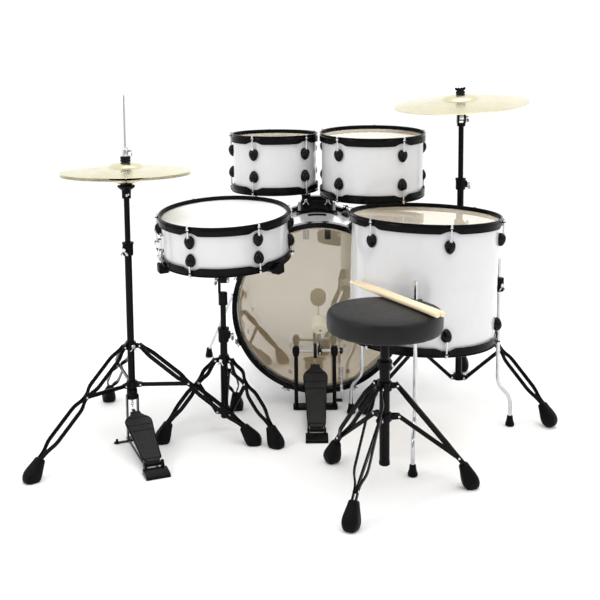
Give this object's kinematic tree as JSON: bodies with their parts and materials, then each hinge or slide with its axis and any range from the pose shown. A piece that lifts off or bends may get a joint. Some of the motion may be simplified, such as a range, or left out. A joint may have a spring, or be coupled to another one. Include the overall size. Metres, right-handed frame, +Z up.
{
  "type": "acoustic drum kit",
  "caption": "Acoustic drum kit: kick, two rack toms, floor tom and snare with white shells and black hoops, hi-hat, crash, kick pedal, round throne and sticks.",
  "frame": {"origin": "on the floor, under the middle of the kit's bounding box", "axes": "+Z up, the drummer sits at -Y and looks along +Y, +X is the floor tom's side"},
  "size_m": [1.4544, 1.363, 0.9898],
  "materials": {
    "white_wrap": "glossy white wrap over a wood shell",
    "black_hoop": "satin black painted wood",
    "clear_film": "clear polyester drumhead film",
    "coated_film": "sprayed white drumhead coating",
    "black_lug": "gloss black casing",
    "chrome": "polished chrome",
    "black_metal": "gloss black powder coat",
    "cymbal_brass": "lathed and brushed",
    "black_felt": "pressed felt",
    "seat_vinyl": "matte grained vinyl",
    "stick_wood": "clear lacquered hardwood"
  },
  "bodies": {
    "root": {"kick_shell": "white_wrap", "kick_hoops": "black_hoop", "kick_heads": "clear_film", "kick_lugs": "black_lug", "tom_mount": "black_metal", "snare_stand_base": "black_metal", "snare_stand_legs": "black_metal", "floor_tom_legs": "chrome", "hihat_base": "black_metal", "hihat_legs": "black_metal", "hihat_pedal_frame": "black_metal", "cymbal_stand_base": "black_metal", "cymbal_stand_legs": "black_metal", "throne_base": "black_metal", "throne_legs": "black_metal", "kick_pedal_frame": "black_metal", "kick_chain": "chrome", "kick_spring": "chrome"},
    "spur_left": {"kick_spur_left": "chrome"},
    "spur_right": {"kick_spur_right": "chrome"},
    "small_tom_post": {"small_tom_post": "black_metal"},
    "small_tom": {"small_tom_shell": "white_wrap", "small_tom_hoops": "black_metal", "small_tom_heads": "clear_film", "small_tom_lugs": "black_lug", "small_tom_arm": "black_metal"},
    "large_tom_post": {"large_tom_post": "black_metal"},
    "large_tom": {"large_tom_shell": "white_wrap", "large_tom_hoops": "black_metal", "large_tom_heads": "clear_film", "large_tom_lugs": "black_lug", "large_tom_arm": "black_metal"},
    "snare_tube": {"snare_upper_tube": "black_metal"},
    "snare": {"snare_basket": "black_metal", "snare_shell": "white_wrap", "snare_hoops": "black_metal", "snare_heads": "coated_film", "snare_lugs": "black_lug", "snare_strainer": "chrome", "snare_wires": "chrome"},
    "strainer_lever": {"strainer_lever": "chrome"},
    "floor_tom": {"floor_tom_shell": "white_wrap", "floor_tom_hoops": "black_metal", "floor_tom_heads": "clear_film", "floor_tom_lugs": "black_lug"},
    "hat_tube": {"hihat_upper_tube": "black_metal", "hihat_bottom_cymbal": "cymbal_brass"},
    "hat_rod": {"hihat_rod": "chrome"},
    "hat_clutch": {"hihat_clutch": "chrome", "hihat_top_cymbal": "cymbal_brass"},
    "hat_footboard": {"hihat_footboard": "black_metal"},
    "crash_tube": {"cymbal_upper_tube": "black_metal"},
    "crash_tilter": {"cymbal_tilter": "chrome", "cymbal_fittings": "black_felt"},
    "crash": {"crash_cymbal": "cymbal_brass"},
    "throne_post": {"seat_post": "black_metal"},
    "seat": {"throne_seat": "seat_vinyl"},
    "sticks": {"drumsticks": "stick_wood"},
    "kick_board": {"kick_footboard": "black_metal"},
    "kick_beater": {"kick_beater": "chrome"}
  },
  "joints": [
    {"name": "kick_pedal_press", "type": "hinge", "parent": "root", "child": "kick_board", "pos_m": [0.026, -0.102, 0.018], "axis": [-1, 0, 0], "range_deg": [0, 10], "stiffness_Nm_per_rad": 14, "springref_deg": -17.19},
    {"name": "beater_swing", "type": "hinge", "parent": "root", "child": "kick_beater", "pos_m": [0.026, 0.128, 0.181], "axis": [-1, 0, 0], "range_deg": [0, 54]},
    {"name": "hihat_pedal_press", "type": "hinge", "parent": "root", "child": "hat_footboard", "pos_m": [-0.40355, -0.33256, 0.02], "axis": [-0.9219, -0.3875, 0], "range_deg": [0, 1.2], "stiffness_Nm_per_rad": 60, "springref_deg": -5.73},
    {"name": "hihat_rod_pull", "type": "slide", "parent": "root", "child": "hat_rod", "axis": [0, 0, -1], "range_m": [0, 0.005]},
    {"name": "clutch_height", "type": "slide", "parent": "hat_rod", "child": "hat_clutch", "axis": [0, 0, 1], "range_m": [0, 0.08]},
    {"name": "hihat_height", "type": "slide", "parent": "root", "child": "hat_tube", "axis": [0, 0, 1], "range_m": [-0.08, 0]},
    {"name": "snare_stand_height", "type": "slide", "parent": "root", "child": "snare_tube", "axis": [0, 0, 1], "range_m": [-0.06, 0]},
    {"name": "snare_tilt", "type": "hinge", "parent": "snare_tube", "child": "snare", "pos_m": [-0.238, -0.067, 0.448], "axis": [1, 0, 0], "range_deg": [-6, 0]},
    {"name": "strainer_throw", "type": "hinge", "parent": "snare", "child": "strainer_lever", "pos_m": [-0.41487, -0.11545, 0.56185], "axis": [0.3112, -0.9458, -0.0924], "range_deg": [0, 75]},
    {"name": "small_tom_swing", "type": "hinge", "parent": "root", "child": "small_tom_post", "pos_m": [0.0025, 0.531, 0.61], "axis": [0, 0, 1], "range_deg": [-25, 0]},
    {"name": "small_tom_tilt", "type": "hinge", "parent": "small_tom_post", "child": "small_tom", "pos_m": [0.0025, 0.531, 0.745], "axis": [-0.9577, 0.2879, 0], "range_deg": [0, 10]},
    {"name": "large_tom_swing", "type": "hinge", "parent": "root", "child": "large_tom_post", "pos_m": [0.0775, 0.531, 0.61], "axis": [0, 0, 1], "range_deg": [0, 12]},
    {"name": "large_tom_tilt", "type": "hinge", "parent": "large_tom_post", "child": "large_tom", "pos_m": [0.0775, 0.531, 0.745], "axis": [-0.9503, -0.3114, 0], "range_deg": [0, 3]},
    {"name": "spur_fold_left", "type": "hinge", "parent": "root", "child": "spur_left", "pos_m": [-0.252, 0.491, 0.272], "axis": [1, 0, 0], "range_deg": [0, 50]},
    {"name": "spur_fold_right", "type": "hinge", "parent": "root", "child": "spur_right", "pos_m": [0.332, 0.491, 0.272], "axis": [1, 0, 0], "range_deg": [0, 50]},
    {"name": "floor_tom_height", "type": "slide", "parent": "root", "child": "floor_tom", "axis": [0, 0, 1], "range_m": [-0.08, 0]},
    {"name": "crash_stand_height", "type": "slide", "parent": "root", "child": "crash_tube", "axis": [0, 0, 1], "range_m": [-0.03, 0.12]},
    {"name": "crash_tilt", "type": "hinge", "parent": "crash_tube", "child": "crash_tilter", "pos_m": [0.474, 0.168, 0.892], "axis": [1, 0, 0], "range_deg": [-6, 12]},
    {"name": "crash_spin", "type": "hinge", "parent": "crash_tilter", "child": "crash", "pos_m": [0.474, 0.168, 0.892], "axis": [-0.0642, -0.1045, 0.9924], "continuous": true},
    {"name": "seat_height", "type": "slide", "parent": "root", "child": "throne_post", "axis": [0, 0, 1], "range_m": [-0.035, 0.1]},
    {"name": "seat_spin", "type": "hinge", "parent": "throne_post", "child": "seat", "pos_m": [0.187, -0.463, 0.4], "axis": [0, 0, 1], "continuous": true},
    {"name": "sticks_lift", "type": "slide", "parent": "throne_post", "child": "sticks", "axis": [0, 0, 1], "range_m": [0, 0.1]}
  ],
  "couplings": [
    {"joint": "beater_swing", "follows": "kick_pedal_press", "ratio": 5.4},
    {"joint": "hihat_rod_pull", "follows": "hihat_pedal_press", "m_per_rad": 0.236}
  ]
}
